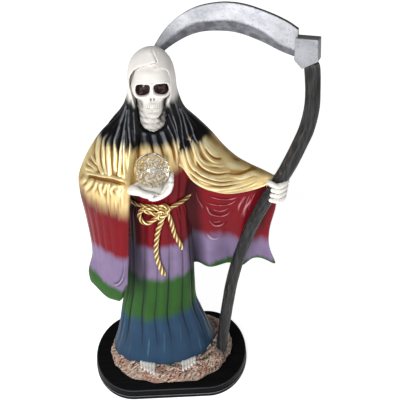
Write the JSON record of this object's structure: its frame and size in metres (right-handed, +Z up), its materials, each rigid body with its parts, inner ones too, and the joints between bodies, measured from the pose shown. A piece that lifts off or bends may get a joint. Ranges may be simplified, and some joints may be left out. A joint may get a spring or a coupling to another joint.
{
  "type": "santa muerte figure",
  "caption": "Robed and hooded skeleton figure in banded colours, holding a crystal ball and a tall curved scythe, standing on a rock on a low rounded black plinth.",
  "frame": {"origin": "centre of the plinth's underside", "axes": "+Z up, from the plinth to the top of the scythe; +X to the viewer's right; the figure faces -Y"},
  "size_m": [0.2313, 0.1357, 0.4076],
  "materials": {
    "painted_resin": "hand-painted resin, satin to gloss, in bands of white, black, gold, red, purple, green and blue",
    "clear_glass": "clear ball with silvery flakes and bubbles inside",
    "dark_resin": "charcoal paint with lighter dry-brushed streaks",
    "silver_resin": "brushed silver paint with a darker bevel",
    "black_wood": "satin black lacquer"
  },
  "bodies": {
    "root": {"figure": "painted_resin", "crystal_ball": "clear_glass", "scythe_handle": "dark_resin", "scythe_blade": "silver_resin", "plinth": "black_wood"}
  },
  "joints": []
}
